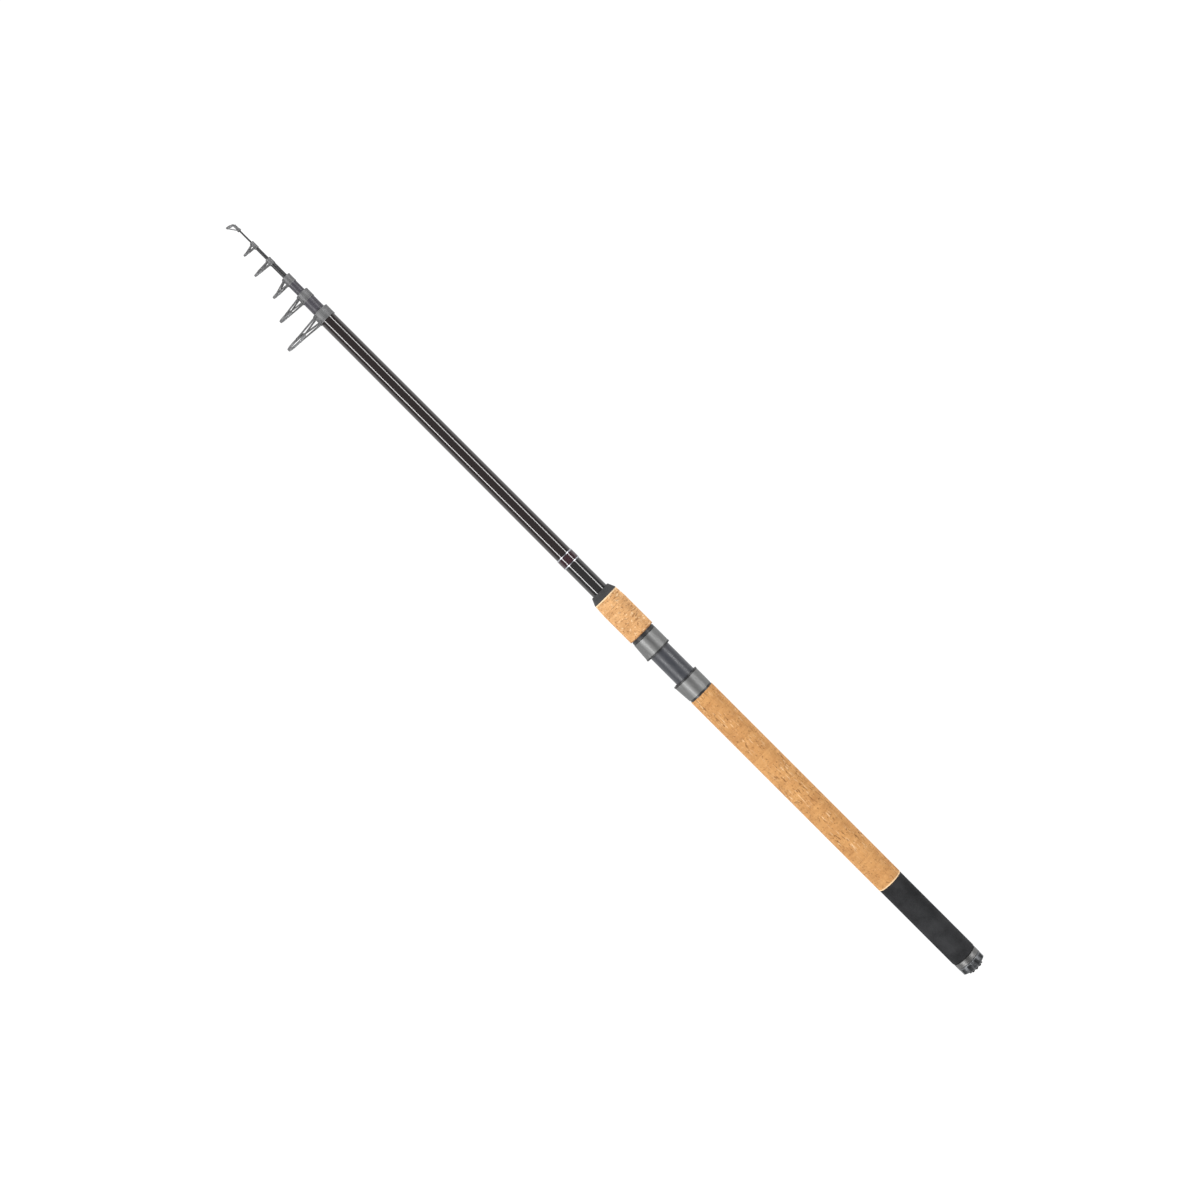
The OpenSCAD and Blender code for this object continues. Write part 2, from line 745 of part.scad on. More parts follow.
module tip_top_tube() {
    color(GREY_METAL) turned([
        [tip_bore_r, tip_tube_x],
        [tip_tube_r, tip_tube_x],
        [tip_tube_r, tip_front_x - EDGE / 2],
        [tip_tube_r - EDGE / 2, tip_front_x],
        [0, tip_front_x],
        [0, section_x(GUIDES) + glue_gap],
        [tip_bore_r, section_x(GUIDES) + glue_gap]
    ]);
}

// Puts a piece in the tip hoop's leaning plane
module tip_plane() {
    translate([0, tip_hoop_drop, tip_hoop_x]) rotate([tip_lean, 0, 0]) children();
}

module tip_top_frame() {
    r = tip_tube_r + glue_gap;
    root_r = r - tip_leg_d;
    hoop_r = tip_hoop_d / 2;
    hoop_rear = tip_hoop_w / 2;
    reach = hoop_r * cos(tip_leg_angle);
    foot_z = tip_tube_x + tip_leg_d;
    color(GREY_METAL) along() difference() {
        union() {
            translate([0, 0, tip_tube_x]) cylinder(h = 2 * tip_leg_d, r = r + tip_leg_d / 2);
            for (side = [-1, 1]) {
                lug_x = side * hoop_r * sin(tip_leg_angle);
                strut(
                    [side * root_r * sin(foot_angle), root_r * cos(foot_angle), foot_z],
                    [
                        lug_x,
                        tip_hoop_drop + reach * cos(tip_lean) + hoop_rear * sin(tip_lean),
                        tip_hoop_x + reach * sin(tip_lean) - hoop_rear * cos(tip_lean)
                    ],
                    tip_leg_d,
                    LEG_TOP * tip_hoop_w
                );
                tip_plane() translate([lug_x, reach, -hoop_rear])
                    cylinder(h = LUG_D * tip_hoop_w, d = LUG_D * tip_hoop_w, center = true);
            }
            tip_plane() translate([0, 0, -tip_hoop_w / 2]) cylinder(h = tip_hoop_w, d = tip_hoop_d);
        }
        translate([0, 0, tip_tube_x - CUT]) cylinder(h = tip_front_x - tip_tube_x + CUT, r = r);
        tip_plane() ring_hole(tip_ring_r, tip_hoop_w);
    }
}

module tip_top_ring() {
    color([0.35, 0.36, 0.37]) along()
        tip_plane() ring_insert(tip_ring_r, tip_ring_wall, tip_hoop_w);
}

butt_blank();
butt_ferrule();
butt_collar();
rear_foam_grip();
rear_cork_grip();
rear_trim_ring();
reel_seat_barrel();
fixed_hood();
fixed_hood_liner();
band_whipping();
band_trim_rings();
sliding_hood();
sliding_hood_liner();
foregrip_nut();
foregrip_trim_ring();
foregrip_cork();
winding_check();
cap_cushion();
butt_cap();
cap_end_pad();
for (i = [1:GUIDES - 1])
    inner_blank(i);
inner_blank(GUIDES);  // tip_blank
for (i = [0:GUIDES - 1]) {
    guide_collar(i);
    guide_frame(i);
    guide_ring(i);
}
tip_top_tube();
tip_top_frame();
tip_top_ring();
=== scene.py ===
import math
import bmesh
import bpy
from mathutils import Matrix, Vector


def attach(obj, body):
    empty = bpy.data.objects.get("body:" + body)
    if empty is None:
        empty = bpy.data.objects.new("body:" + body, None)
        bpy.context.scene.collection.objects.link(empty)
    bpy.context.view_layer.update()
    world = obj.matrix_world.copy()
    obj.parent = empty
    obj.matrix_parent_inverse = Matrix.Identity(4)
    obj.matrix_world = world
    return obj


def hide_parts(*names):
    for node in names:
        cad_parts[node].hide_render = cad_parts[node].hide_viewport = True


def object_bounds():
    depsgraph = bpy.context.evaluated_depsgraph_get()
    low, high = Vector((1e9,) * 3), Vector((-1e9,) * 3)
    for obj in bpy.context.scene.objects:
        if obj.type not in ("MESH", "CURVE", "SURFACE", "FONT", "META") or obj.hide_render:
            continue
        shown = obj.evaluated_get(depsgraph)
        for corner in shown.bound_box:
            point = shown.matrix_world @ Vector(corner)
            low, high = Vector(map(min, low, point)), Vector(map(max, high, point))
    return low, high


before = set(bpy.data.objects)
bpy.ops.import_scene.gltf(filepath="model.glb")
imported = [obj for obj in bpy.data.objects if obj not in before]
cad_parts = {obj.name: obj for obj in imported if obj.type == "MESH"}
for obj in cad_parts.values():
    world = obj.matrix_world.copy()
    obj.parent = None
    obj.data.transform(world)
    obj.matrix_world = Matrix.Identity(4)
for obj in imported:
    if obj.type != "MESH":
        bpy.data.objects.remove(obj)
cadBox = [list(corner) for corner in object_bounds()]
scene = bpy.context.scene
mm = 0.001
print("frame loaded:", len(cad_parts), "nodes")


# shader tools
class Wire:
    # a socket that can be used in plain maths
    def __init__(self, nodes, socket):
        self.nodes = nodes
        self.socket = socket

    def maths(self, operation, a, b=0.0):
        return self.nodes.node("ShaderNodeMath", {"operation": operation}, {0: a, 1: b})

    def __add__(self, other):
        return self.maths("ADD", self, other)

    def __radd__(self, other):
        return self.maths("ADD", other, self)

    def __sub__(self, other):
        return self.maths("SUBTRACT", self, other)

    def __rsub__(self, other):
        return self.maths("SUBTRACT", other, self)

    def __mul__(self, other):
        return self.maths("MULTIPLY", self, other)

    def __rmul__(self, other):
        return self.maths("MULTIPLY", other, self)

    def gap(self, other):
        return self.maths("ABSOLUTE", self - other)

    def __floordiv__(self, other):
        return self.maths("FLOOR", self.maths("DIVIDE", self, other))


class Nodes:
    # a node tree, with one method that adds any node
    def __init__(self, tree):
        self.tree = tree

    def feed(self, socket, value):
        if isinstance(value, Wire):
            self.tree.links.new(value.socket, socket)
        elif socket.type == "RGBA":
            socket.default_value = (*value, 1.0)
        else:
            socket.default_value = value

    def node(self, kind, settings=None, inputs=None, out=0):
        made = self.tree.nodes.new(kind)
        for label, value in (settings or {}).items():
            setattr(made, label, value)
        for label, value in (inputs or {}).items():
            self.feed(made.inputs[label], value)
        return Wire(self, made.outputs[out])


class Finish(Nodes):
    # a material, with the patterns that several finishes use
    def __init__(self, name, **fixed):
        self.material = bpy.data.materials.new(name)
        self.material.use_nodes = True
        super().__init__(self.material.node_tree)
        self.shader = self.tree.nodes["Principled BSDF"]
        self.use(**fixed)

    def use(self, **links):
        for label, value in links.items():
            self.feed(self.shader.inputs[label.replace("_", " ")], value)

    def stretch(self, vector, scale):
        return self.node("ShaderNodeVectorMath", {"operation": "MULTIPLY"}, {0: vector, 1: scale})

    def spot(self, scale=(1000.0, 1000.0, 1000.0)):
        # place on the piece, in millimetres unless scaled
        return self.stretch(self.node("ShaderNodeTexCoord", out="Object"), scale)

    def along(self, vector):
        return self.node("ShaderNodeSeparateXYZ", inputs={0: vector})

    def cloud(self, vector, scale=1.0, detail=3.0, roughness=0.55):
        inputs = {"Vector": vector, "Scale": scale, "Detail": detail, "Roughness": roughness}
        return self.node("ShaderNodeTexNoise", inputs=inputs)

    def fade(self, value, low, high, start=0.0, end=1.0):
        inputs = {"Value": value, "From Min": low, "From Max": high, "To Min": start, "To Max": end}
        return self.node("ShaderNodeMapRange", {"interpolation_type": "SMOOTHSTEP"}, inputs)

    def blend(self, factor, a, b):
        return self.node("ShaderNodeMix", {"data_type": "RGBA"}, {0: factor, 6: a, 7: b}, out=2)

    def bump(self, height, distance, strength):
        inputs = {"Height": height, "Distance": distance, "Strength": strength}
        self.use(Normal=self.node("ShaderNodeBump", inputs=inputs))


# mesh tools
meshing = {"sharpAngle": 35, "weld": 1e-6, "flatAngle": 0.3, "turnSteps": 96}


def outline(node):
    # a turned solid's places along the rod with their least and largest radius, in mm
    reach = {}
    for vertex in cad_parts[node].data.vertices:
        x = round(vertex.co.x / mm, 2)
        r = math.hypot(vertex.co.y, vertex.co.z) / mm
        low, high = reach.get(x, (r, r))
        reach[x] = (min(low, r), max(high, r))
    return [(x, *reach[x]) for x in sorted(reach)]


def extent(node, axis):
    # the least and largest place of a node along one axis, in mm
    places = [vertex.co[axis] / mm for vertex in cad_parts[node].data.vertices]
    return min(places), max(places)


def addPiece(name, mesh, body, finish, node):
    mesh.shade_smooth()
    mesh.set_sharp_from_angle(angle=math.radians(meshing["sharpAngle"]))
    piece = bpy.data.objects.new(name, mesh)
    scene.collection.objects.link(piece)
    mesh.materials.clear()
    mesh.materials.append(finish.material)
    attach(piece, body)
    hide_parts(node)


def finished(bm, name):
    # closes a mesh that was built up
    mesh = bpy.data.meshes.new(name)
    bm.to_mesh(mesh)
    bm.free()
    return mesh


def rounded(points, steps):
    # a closed profile of (x, r, fillet) corners, in mm, with each corner rounded
    path = []
    for k, (x, r, size) in enumerate(points):
        corner = Vector((x, r))
        if size <= 0:
            path.append(corner)
            continue
        back = (Vector(points[k - 1][:2]) - corner).normalized()
        ahead = (Vector(points[(k + 1) % len(points)][:2]) - corner).normalized()
        half = back.angle(ahead) / 2
        reach = size / math.tan(half)
        centre = corner + (back + ahead).normalized() * (size / math.sin(half))
        start = (corner + back * reach - centre).normalized()
        end = (corner + ahead * reach - centre).normalized()
        for j in range(steps + 1):
            path.append(centre + size * start.slerp(end, j / steps))
    return path


def bridge(bm, ring, after):
    # joins two rings of the same count with a band of faces
    for k in range(len(ring)):
        j = (k + 1) % len(ring)
        bm.faces.new((ring[k], ring[j], after[j], after[k]))


def lathe(profiles):
    # turns closed (x, r) profiles round the rod's axis into one mesh
    steps = meshing["turnSteps"]
    bm = bmesh.new()
    for profile in profiles:
        rings = []
        for x, r in profile:
            ring = []
            for k in range(steps):
                a = 2 * math.pi * (k + 0.5) / steps
                ring.append(bm.verts.new((x * mm, r * mm * math.cos(a), r * mm * math.sin(a))))
            rings.append(ring)
        for ring, after in zip(rings, rings[1:] + rings[:1]):
            bridge(bm, ring, after)
    bmesh.ops.recalc_face_normals(bm, faces=bm.faces)
    return finished(bm, "lathe")


def softSolid(node):
    # the solid's own faces, welded so that they shade smoothly
    bm = bmesh.new()
    bm.from_mesh(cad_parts[node].data)
    bmesh.ops.remove_doubles(bm, verts=bm.verts, dist=meshing["weld"])
    flat = math.radians(meshing["flatAngle"])
    bmesh.ops.dissolve_limit(bm, angle_limit=flat, verts=bm.verts, edges=bm.edges)
    return bm


def softCopy(node):
    return finished(softSolid(node), node)


print("tools ready")


# finishes
varnish = {"Specular_IOR_Level": 0.0, "Coat_Weight": 1.0, "Coat_IOR": 1.55}
uneven = (0.85, 1.2)  # the smoothest and the roughest places, as shares of the roughness


def glossBlank(change):
    # clear-coated carbon, cooler behind the band and browner ahead of it
    look = {
        "brown": (0.021, 0.0165, 0.0165), "cool": (0.021, 0.021, 0.0215), "fleck": (0.036, 0.03, 0.03),
        "weave": (60.0, 900.0, 900.0), "flecks": 0.35, "blur": 1.0,
        "ripple": (25.0, 300.0, 300.0), "depth": 0.00002, "strength": 0.2,
    }
    f = Finish("gloss blank", Coat_Roughness=0.03, **varnish)
    weave = f.cloud(f.spot(look["weave"]), detail=4.0)
    ahead = f.fade(f.along(f.spot()), change - look["blur"], change + look["blur"])
    tint = f.blend(ahead, look["cool"], look["brown"])
    f.use(Base_Color=f.blend(weave * look["flecks"], tint, look["fleck"]))
    f.bump(f.cloud(f.spot(look["ripple"])), look["depth"], look["strength"])
    return f


def satinBlank(name, tone):
    # unvarnished carbon with its fine wound grid
    look = {
        "lines": (120.0, 2500.0, 2500.0), "hoops": (2600.0, 90.0, 90.0), "spread": (0.35, 0.65),
        "shade": 0.62, "rough": (0.5, 0.38), "depth": 0.00003, "strength": 0.5,
    }
    f = Finish(name, Specular_IOR_Level=0.4)
    lines = f.cloud(f.spot(look["lines"]), detail=5.0)
    hoops = f.cloud(f.spot(look["hoops"]), detail=3.0)
    grid = f.fade(lines * 0.5 + hoops * 0.5, *look["spread"])
    dark = tuple(c * look["shade"] for c in tone)
    f.use(Base_Color=f.blend(grid, dark, tone), Roughness=f.fade(grid, 0, 1, *look["rough"]))
    f.bump(grid, look["depth"], look["strength"])
    return f


def corkFinish(name, node, look):
    # ring cork: mottled rings, bands, dark dashes and pits, pale scratches, a pale edge and a chipped one
    cork = {
        "jump": (37.0, 11.0, 5.0), "fine": 0.9, "patch": 0.07, "crowd": 0.045, "pit": 0.5,
        "crowdEdge": (0.42, 0.6), "dashEdge": (0.58, 0.66), "pitEdge": (0.62, 0.68),
        "scratchEdge": (0.6, 0.67),
        "rimEdge": (0.9, 1.9), "rimPale": 0.8, "chipEdge": (-2.4, -1.8), "chipWander": 6.0,
        "rough": 0.72, "markRough": 0.2, "relief": 0.25, "depth": 0.00025, "strength": 0.6,
    }
    places = outline(node)
    start = places[0][0]
    end = places[-1][0]
    paleEnd, chippedEnd = (start, end) if look["paleRear"] else (end, start)
    f = Finish(name, Specular_IOR_Level=0.15)
    spot = f.spot()
    x = f.along(spot)
    ring = (x - start) // ((end - start) / look["rings"])
    tone = f.node("ShaderNodeTexWhiteNoise", {"noise_dimensions": "1D"}, {"W": ring + look["seed"]})
    shifts = {axis: ring * size for axis, size in zip("XYZ", cork["jump"])}
    jump = f.node("ShaderNodeCombineXYZ", inputs=shifts)
    own = f.node("ShaderNodeVectorMath", {"operation": "ADD"}, {0: spot, 1: jump})
    fine = f.cloud(own, cork["fine"], 4.0, 0.7)
    bands = f.cloud(f.stretch(own, look["band"]), 1.0, 2.0)
    patches = f.cloud(spot, cork["patch"], 3.0)
    wide, banded, small = look["mix"]
    mixed = patches * wide + bands * banded + fine * small + tone * look["step"]
    mottle = f.fade(mixed, *look["spread"])
    crowd = f.fade(f.cloud(spot, cork["crowd"], 1.0), *cork["crowdEdge"], look["calm"], 1.0)
    dashes = f.fade(f.cloud(f.stretch(own, look["grain"]), 1.0, 2.0), *cork["dashEdge"])
    pits = f.fade(f.cloud(own, cork["pit"], 2.0), *cork["pitEdge"])
    darkest = {0: dashes * crowd * look["dashes"], 1: pits * look["pits"]}
    marks = f.node("ShaderNodeMath", {"operation": "MAXIMUM"}, darkest)
    scratches = f.fade(f.cloud(f.stretch(spot, look["scratch"]), 1.0, 2.0), *cork["scratchEdge"])
    rim = f.fade(x.gap(paleEnd), *cork["rimEdge"], 1.0, 0.0)
    chips = f.fade(x.gap(chippedEnd) - fine * cork["chipWander"], *cork["chipEdge"], 1.0, 0.0)
    body = f.blend(mottle, look["warm"], look["pale"])
    worn = f.blend(scratches * crowd * look["worn"], body, look["bright"])
    pitted = f.blend(marks, worn, look["dark"])
    chipped = f.blend(chips * look["chips"], pitted, look["dark"])
    f.use(Base_Color=f.blend(rim * cork["rimPale"], chipped, look["bright"]))
    f.use(Roughness=cork["rough"] + marks * cork["markRough"])
    f.bump(fine * cork["relief"] - marks, cork["depth"], cork["strength"])
    return f


def foamFinish():
    # closed-cell foam with slow cloudy changes of tone
    look = {
        "dark": (0.0155, 0.0158, 0.0165), "light": (0.0405, 0.041, 0.043), "spread": (0.3, 0.7),
        "cell": 3.2, "soft": 0.05, "grain": 4.0, "rough": 0.82, "cellRough": 0.15,
        "depth": 0.00008, "strength": 0.5,
    }
    f = Finish("foam", Specular_IOR_Level=0.05)
    spot = f.spot()
    cells = f.node("ShaderNodeTexVoronoi", {}, {"Vector": spot, "Scale": look["cell"]}, out="Distance")
    soft = f.cloud(spot, look["soft"], 4.0)
    mottle = f.fade(soft * 0.65 + cells * 0.35, *look["spread"])
    f.use(Base_Color=f.blend(mottle, look["dark"], look["light"]))
    f.use(Roughness=look["rough"] + cells * look["cellRough"])
    f.bump(cells * 0.7 + f.cloud(spot, look["grain"], 2.0) * 0.5, look["depth"], look["strength"])
    return f


def metalFinish(name, tone, rough, stretch, wear=0.1, metal=1.0):
    # turned or brushed metal: fine lines along the given stretch
    look = {"cloud": 0.15, "spread": (0.3, 0.7), "depth": 0.00002, "strength": 0.35}
    f = Finish(name, Metallic=metal)
    lines = f.cloud(f.spot(stretch), detail=4.0, roughness=0.65)
    cloudy = f.cloud(f.spot(), look["cloud"], 3.0)
    low = tuple(c * (1 - wear) for c in tone)
    f.use(Base_Color=f.blend(f.fade(cloudy * 0.5 + lines * 0.5, *look["spread"]), low, tone))
    f.use(Roughness=f.fade(lines, *look["spread"], *(rough * share for share in uneven)))
    f.bump(lines, look["depth"], look["strength"])
    return f


def plasticFinish(name, tone, rough, coat=0.0):
    # moulded plastic, rubber or ceramic with a fine speckle and faint smudges
    look = {
        "speckle": 4.0, "speckles": 0.4, "lift": 1.5, "haze": 0.002, "smudge": 0.12, "spread": (0.3, 0.7),
        "depth": 0.00002, "strength": 0.3,
    }
    f = Finish(name, Coat_Weight=coat, Coat_Roughness=0.08)
    spot = f.spot()
    speckle = f.cloud(spot, look["speckle"], 3.0)
    smudge = f.cloud(spot, look["smudge"], 3.0)
    light = tuple(c * look["lift"] + look["haze"] for c in tone)
    f.use(Base_Color=f.blend(speckle * look["speckles"], tone, light))
    f.use(Roughness=f.fade(smudge, *look["spread"], *(rough * share for share in uneven)))
    f.bump(speckle, look["depth"], look["strength"])
    return f


def threadFinish():
    # maroon thread wound close under varnish
    look = {
        "turn": 0.28, "dark": (0.018, 0.009, 0.011), "light": (0.06, 0.032, 0.038),
        "depth": 0.00003, "strength": 0.5,
    }
    f = Finish("whipping", Coat_Roughness=0.04, **varnish)
    angle = f.along(f.spot()) * (2 * math.pi / look["turn"])
    wave = f.node("ShaderNodeMath", {"operation": "SINE"}, {0: angle})
    turns = wave * 0.5 + 0.5
    f.use(Base_Color=f.blend(turns, look["dark"], look["light"]))
    f.bump(turns, look["depth"], look["strength"])
    return f


rearCork = {
    "rings": 22, "edge": 0.18, "edgeSteps": 3, "joint": 0.04,
    "seed": 3.0, "step": 0.05, "paleRear": True, "chips": 0.0,
    "band": (0.35, 0.08, 0.08), "grain": (0.13, 0.6, 0.6), "scratch": (0.09, 0.8, 0.8),
    "mix": (0.33, 0.33, 0.34), "spread": (0.27, 0.81),
    "calm": 0.2, "dashes": 0.75, "pits": 0.65, "worn": 0.6,
    "pale": (0.64, 0.345, 0.13), "warm": (0.42, 0.195, 0.066), "dark": (0.16, 0.065, 0.022),
    "bright": (0.85, 0.62, 0.38),
}
foreCork = {
    "rings": 4, "edge": 0.25, "edgeSteps": 3, "joint": 0.04,
    "seed": 51.0, "step": 0.1, "paleRear": False, "chips": 0.8,
    "band": (0.35, 0.08, 0.08), "grain": (0.55, 0.16, 0.16), "scratch": (0.4, 0.25, 0.25),
    "mix": (0.25, 0.35, 0.4), "spread": (0.4, 0.68),
    "calm": 1.0, "dashes": 0.6, "pits": 0.7, "worn": 0.6,
    "pale": (0.7, 0.4, 0.18), "warm": (0.5, 0.255, 0.098), "dark": (0.19, 0.075, 0.026),
    "bright": (0.85, 0.64, 0.4),
}
brushed = (30.0, 700.0, 700.0)
turned = (900.0, 60.0, 60.0)
drawn = (900.0, 200.0, 200.0)
bandStart = outline("band_trim_rings")[0][0]
finishes = {
    "glossBlank": glossBlank(bandStart),
    "violetBlank": satinBlank("violet blank", (0.066, 0.062, 0.075)),
    "greyBlank": satinBlank("grey blank", (0.028, 0.028, 0.03)),
    "rearCork": corkFinish("rear cork", "rear_cork_grip", rearCork),
    "foreCork": corkFinish("fore cork", "foregrip_cork", foreCork),
    "foam": foamFinish(),
    "hood": metalFinish("hood metal", (0.188, 0.189, 0.187), 0.51, brushed, metal=0.75),
    "collar": metalFinish("collar metal", (0.195, 0.194, 0.192), 0.5, turned, wear=0.3),
    "cap": metalFinish("cap metal", (0.19, 0.196, 0.204), 0.56, turned, wear=0.2),
    "trim": metalFinish("pale trim", (0.5, 0.51, 0.54), 0.35, turned),
    "guide": metalFinish("guide metal", (0.18, 0.18, 0.183), 0.6, drawn, wear=0.15, metal=0.7),
    "ring": plasticFinish("guide ring", (0.17, 0.174, 0.18), 0.4, coat=0.2),
    "barrel": plasticFinish("barrel", (0.037, 0.039, 0.046), 0.4),
    "black": plasticFinish("black plastic", (0.012, 0.012, 0.013), 0.45),
    "check": plasticFinish("winding check", (0.03, 0.03, 0.031), 0.75),
    "rubber": plasticFinish("rubber", (0.01, 0.01, 0.01), 0.8),
    "whipping": threadFinish(),
}
print("finishes ready:", len(finishes))

# blanks, each with its swollen rear end and the choked mouth that the next one locks in
sections = ["butt_section", "section_2", "section_3", "section_4", "section_5", "tip_section"]
blankNodes = [
    "butt_blank", "section_2_blank", "section_3_blank", "section_4_blank", "section_5_blank", "tip_blank",
]
blankLooks = ["glossBlank", "violetBlank", "violetBlank", "greyBlank", "greyBlank", "greyBlank"]
blank = {"rows": 24, "tipBore": 0.01, "lock": (75, 70, 60, 50, 40)}


def placeNear(places, x):
    return min(places, key=lambda place: abs(place[0] - x))


for k, node in enumerate(blankNodes):
    isButt = k == 0
    isTip = k == len(blankNodes) - 1
    places = outline(node)
    rear, rearBore, rearRadius = places[0]
    front, mouth, frontRadius = places[-1]
    swellEnd = rear if isButt else rear + blank["lock"][k - 1]
    start, startBore, startRadius = placeNear(places, swellEnd)
    profile = [] if isButt else [(rear, rearRadius)]
    for j in range(blank["rows"] + 1):
        step = j / blank["rows"]
        radius = startRadius + (frontRadius - startRadius) * step
        profile.append((start + (front - start) * step, radius))
    if isTip:
        profile += [(front, blank["tipBore"]), (rear, blank["tipBore"])]
    else:
        choke, lockBore, bodyBore = placeNear(places, front - blank["lock"][k])
        profile += [(front, mouth), (choke, lockBore), (choke, bodyBore), (start, startBore)]
        profile += [] if isButt else [(rear, rearBore)]
    slot = "gloss_blank" if isButt else "satin_blank"
    addPiece("blank" + str(k + 1), lathe([profile]), sections[k], finishes[blankLooks[k]], node)
print("blanks ready")


# grips
def gripSize(node):
    # where a grip starts and ends, its bore, its largest radius and its radius at the front, in mm
    places = outline(node)
    bore = min(low for x, low, high in places)
    radius = max(high for x, low, high in places)
    return places[0][0], places[-1][0], bore, radius, places[-1][2]


foam = {"rearEdge": 2.0, "frontEdge": 0.5, "steps": 6}
start, end, bore, radius, front = gripSize("rear_foam_grip")
corners = [
    (start, bore, 0), (start, radius, foam["rearEdge"]), (end, radius, foam["frontEdge"]), (end, bore, 0),
]
profile = rounded(corners, foam["steps"])
addPiece("rearFoam", lathe([profile]), "butt_section", finishes["foam"], "rear_foam_grip")


def corkRings(node, look):
    # the stack's rings, each with its worn edges
    start, end, bore, radius, front = gripSize(node)
    last = look["rings"] - 1
    pitch = (end - start) / look["rings"]
    edge = look["edge"]
    rings = []
    for k in range(look["rings"]):
        a = start + k * pitch
        b = a + pitch - (look["joint"] if k < last else 0)
        ahead = radius if k < last else front
        corners = [(a, bore, 0), (a, radius, edge), (b, ahead, edge), (b, bore, 0)]
        rings.append(rounded(corners, look["edgeSteps"]))
    return rings


rings = corkRings("rear_cork_grip", rearCork)
addPiece("rearCork", lathe(rings), "butt_section", finishes["rearCork"], "rear_cork_grip")
rings = corkRings("foregrip_cork", foreCork)
addPiece("foreCork", lathe(rings), "foregrip", finishes["foreCork"], "foregrip_cork")
print("grips ready")

# fittings that keep the solid's shape: body, slot and finish
fittings = {
    "butt_collar": ("butt_section", "cap_metal", "collar"),
    "rear_trim_ring": ("butt_section", "black_plastic", "black"),
    "reel_seat_barrel": ("butt_section", "barrel", "barrel"),
    "fixed_hood": ("butt_section", "hood_metal", "hood"),
    "fixed_hood_liner": ("butt_section", "black_plastic", "black"),
    "band_whipping": ("butt_section", "whipping", "whipping"),
    "band_trim_rings": ("butt_section", "pale_trim", "trim"),
    "sliding_hood": ("sliding_hood", "hood_metal", "hood"),
    "sliding_hood_liner": ("sliding_hood", "black_plastic", "black"),
    "foregrip_nut": ("foregrip", "black_plastic", "black"),
    "foregrip_trim_ring": ("foregrip", "black_plastic", "black"),
    "winding_check": ("foregrip", "black_plastic", "check"),
    "cap_cushion": ("cap_cushion", "rubber", "rubber"),
    "butt_ferrule": ("butt_section", "cap_metal", "cap"),
    "tip_top_tube": ("tip_section", "guide_metal", "guide"),
    "tip_top_frame": ("tip_section", "guide_metal", "guide"),
    "tip_top_ring": ("tip_section", "ring", "ring"),
}
guideCount = 5
for k in range(guideCount):
    fittings[f"guide_{k + 1}_collar"] = (sections[k], "guide_metal", "guide")
    fittings[f"guide_{k + 1}_ring"] = (sections[k], "ring", "ring")
for node, (body, slot, look) in fittings.items():
    addPiece(node + "Soft", softCopy(node), body, finishes[look], node)
print("fittings ready:", len(fittings))

# butt cap, drawn in a little behind its rubber pad
cap = {"taper": 3.2, "drawIn": 1.0}
mesh = softCopy("butt_cap")
capRear = min(vertex.co.x for vertex in mesh.vertices)
capShoulder = capRear + cap["taper"] * mm
for vertex in mesh.vertices:
    if vertex.co.x < capShoulder:
        vertex.co.x = capShoulder - (capShoulder - vertex.co.x) * (1 - cap["drawIn"] / cap["taper"])
addPiece("buttCap", mesh, "butt_cap", finishes["cap"], "butt_cap")

# rubber end pad; its rows go outwards, as shares of the radius and of the ribs' depth
pad = {
    "radius": 8.75, "lobe": 0.35, "ribs": 10, "ribDepth": 0.9, "steps": 160, "overlap": 0.1,
    "rows": ((0.35, 0.0), (0.55, 0.3), (0.75, 0.8), (0.9, 1.0), (0.97, 1.1), (1.0, 1.4)),
    "bevelStart": 0.9, "bevel": 2.0,
}


def ribbedPad(front):
    # a disc from x = 0 to the given front, with ribs that run out to its lobed rim
    hub = pad["rows"][0][0]
    bm = bmesh.new()
    rings = []
    for share, drop in pad["rows"] + ((1.0, None), (hub, None)):
        edge = max(0, share - pad["bevelStart"]) * pad["bevel"] * mm
        ring = []
        for k in range(pad["steps"]):
            a = 2 * math.pi * k / pad["steps"]
            wave = math.cos(pad["ribs"] * a)
            r = share * (pad["radius"] + pad["lobe"] * wave) * mm
            x = front if drop is None else drop * pad["ribDepth"] * (0.5 - 0.5 * wave) * mm + edge
            ring.append(bm.verts.new((x, r * math.sin(a), r * math.cos(a))))
        rings.append(ring)
    for ring, after in zip(rings, rings[1:]):
        bridge(bm, ring, after)
    bm.faces.new(rings[0])
    bm.faces.new(rings[-1])
    bmesh.ops.recalc_face_normals(bm, faces=bm.faces)
    return finished(bm, "pad")


padFront = capRear + (cap["drawIn"] + pad["overlap"]) * mm
addPiece("endPad", ribbedPad(padFront), "butt_cap", finishes["rubber"], "cap_end_pad")
print("butt cap ready")

# guide frames, with their legs a little stouter than the solids' so that they read as bent wire
legs = {
    "footAngle": 38.0, "footInset": 1.0, "sink": 0.5, "clear": 0.5, "shift": 0.4, "sides": 20,
    "footRadius": (1.1, 1.0, 0.95, 0.9, 0.85), "hoopRadius": (0.8, 0.75, 0.7, 0.65, 0.6),
}


def addLeg(bm, start, end, startRadius, endRadius):
    way = (end - start) * mm
    turn = way.to_track_quat("Z", "Y").to_matrix().to_4x4()
    place = Matrix.Translation((start + end) / 2 * mm) @ turn
    sizes = {"radius1": startRadius * mm, "radius2": endRadius * mm, "depth": way.length}
    bmesh.ops.create_cone(bm, cap_ends=True, segments=legs["sides"], matrix=place, **sizes)


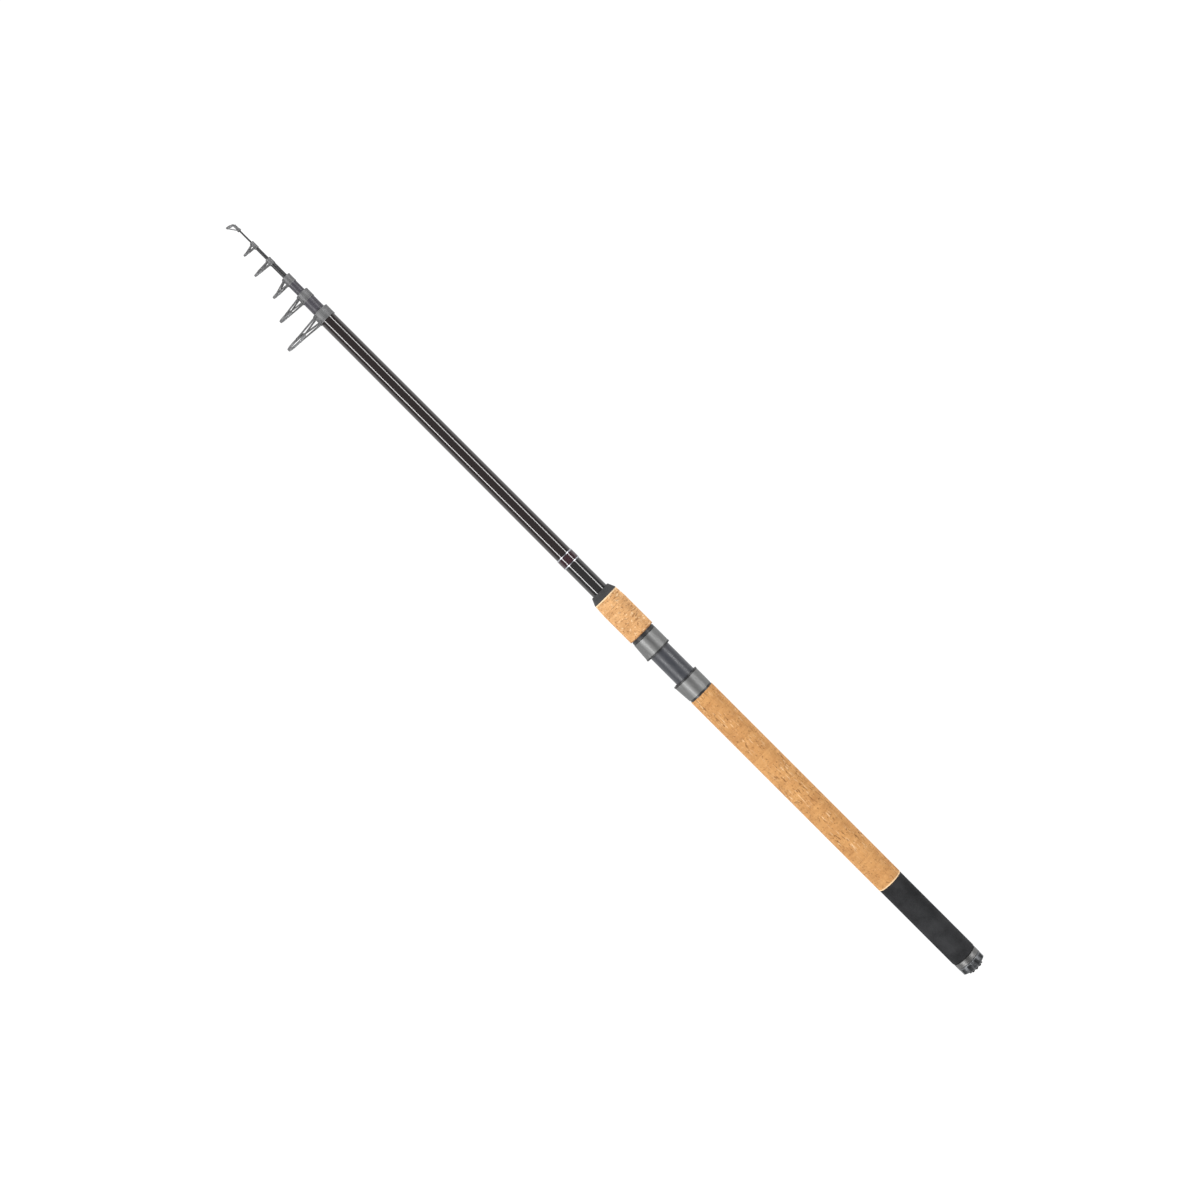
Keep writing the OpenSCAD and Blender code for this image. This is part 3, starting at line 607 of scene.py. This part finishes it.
footAngle = math.radians(legs["footAngle"])
for k in range(guideCount):
    node = f"guide_{k + 1}_frame"
    ring = f"guide_{k + 1}_ring"
    hoopX = sum(extent(ring, 0)) / 2
    hoopY = sum(extent(ring, 1)) / 2
    rear, front = extent(node, 0)
    foot = extent(f"guide_{k + 1}_collar", 2)[1] - legs["sink"]
    footY, footZ = foot * math.cos(footAngle), foot * math.sin(footAngle)
    # each leg ends where its line just touches the hoop's rim
    rim = extent(node, 1)[1] - hoopY + legs["clear"]
    run = math.hypot(footZ, hoopY - footY)
    topAngle = math.atan2(footZ, hoopY - footY) + math.acos(rim / run)
    topY, topZ = hoopY - rim * math.cos(topAngle), rim * math.sin(topAngle)
    bm = softSolid(node)
    for footX, end in ((rear + legs["footInset"], -1), (front - legs["footInset"], 1)):
        for side in (-1, 1):
            start = Vector((footX, footY, side * footZ))
            stop = Vector((hoopX + end * legs["shift"], topY, side * topZ))
            addLeg(bm, start, stop, legs["footRadius"][k], legs["hoopRadius"][k])
    addPiece(node + "Soft", finished(bm, node), sections[k], finishes["guide"], node)
print("guide frames ready")

# floor
white = (1.0, 1.0, 1.0)
middle = (cadBox[0][0] + cadBox[1][0]) / 2
stage = {"size": 14.0, "glow": 0.97, "reflect": 0.08, "rough": 0.9}
bpy.ops.mesh.primitive_plane_add(size=stage["size"], location=(middle, 0, cadBox[0][2]))
floor = bpy.context.object
floor.name = "floor"
paper = Finish("paper", Base_Color=(stage["reflect"],) * 3, Roughness=stage["rough"], Specular_IOR_Level=0.0)
paper.use(Emission_Color=white, Emission_Strength=stage["glow"])
floor.data.materials.append(paper.material)

# studio: bright at the horizon and dim overhead
studio = {"horizon": 1.0, "band": 0.02, "top": 0.07, "overhead": 0.09}
scene.world = bpy.data.worlds.new("studio")
scene.world.use_nodes = True
sky = Nodes(scene.world.node_tree)
direction = sky.node("ShaderNodeTexCoord", out="Generated")
height = sky.node("ShaderNodeSeparateXYZ", inputs={0: direction}, out="Z")
glow = sky.node("ShaderNodeMapRange", inputs={
    "Value": height, "From Min": studio["band"], "From Max": studio["top"],
    "To Min": studio["horizon"], "To Max": studio["overhead"],
})
backdrop = sky.tree.nodes["Background"]
sky.feed(backdrop.inputs["Strength"], glow)
sky.feed(backdrop.inputs["Color"], white)

# two strip lights along the rod, which draw the lines on the gloss blank
strips = {"angle": 49.0, "distance": 1.8, "length": 3.0, "width": 0.3, "near": 18.4, "far": 14.6}
for side, radiance in ((1, strips["near"]), (-1, strips["far"])):
    lamp = bpy.data.lights.new("strip", "AREA")
    lamp.shape = "RECTANGLE"
    lamp.size = strips["length"]
    lamp.size_y = strips["width"]
    lamp.energy = radiance * math.pi * strips["length"] * strips["width"]
    holder = bpy.data.objects.new("strip", lamp)
    scene.collection.objects.link(holder)
    tilt = math.radians(strips["angle"]) * side
    holder.location = (middle, strips["distance"] * math.sin(tilt), strips["distance"] * math.cos(tilt))
    holder.rotation_euler = (-tilt, 0, 0)

# the camera stands a little towards the tip of what the picture is centred on
view = {
    "centre": (0.5521, 0.0065), "aside": 0.06, "width": 1.26, "distance": 2.2, "turn": 225, "sensor": 36.0,
}
turn = math.radians(view["turn"])
camera = bpy.data.cameras.new("camera")
camera.sensor_width = view["sensor"]
camera.lens = camera.sensor_width * view["distance"] / view["width"]
camera.shift_x = -math.cos(turn) * view["aside"] / view["width"]
camera.shift_y = math.sin(turn) * view["aside"] / view["width"]
camera.clip_end = 100.0
holder = bpy.data.objects.new("camera", camera)
scene.collection.objects.link(holder)
holder.location = (view["centre"][0] + view["aside"], view["centre"][1], view["distance"])
holder.rotation_euler = (0, 0, turn)
scene.camera = holder
scene.view_settings.view_transform = "Standard"
scene.view_settings.look = "None"
print("stage ready")
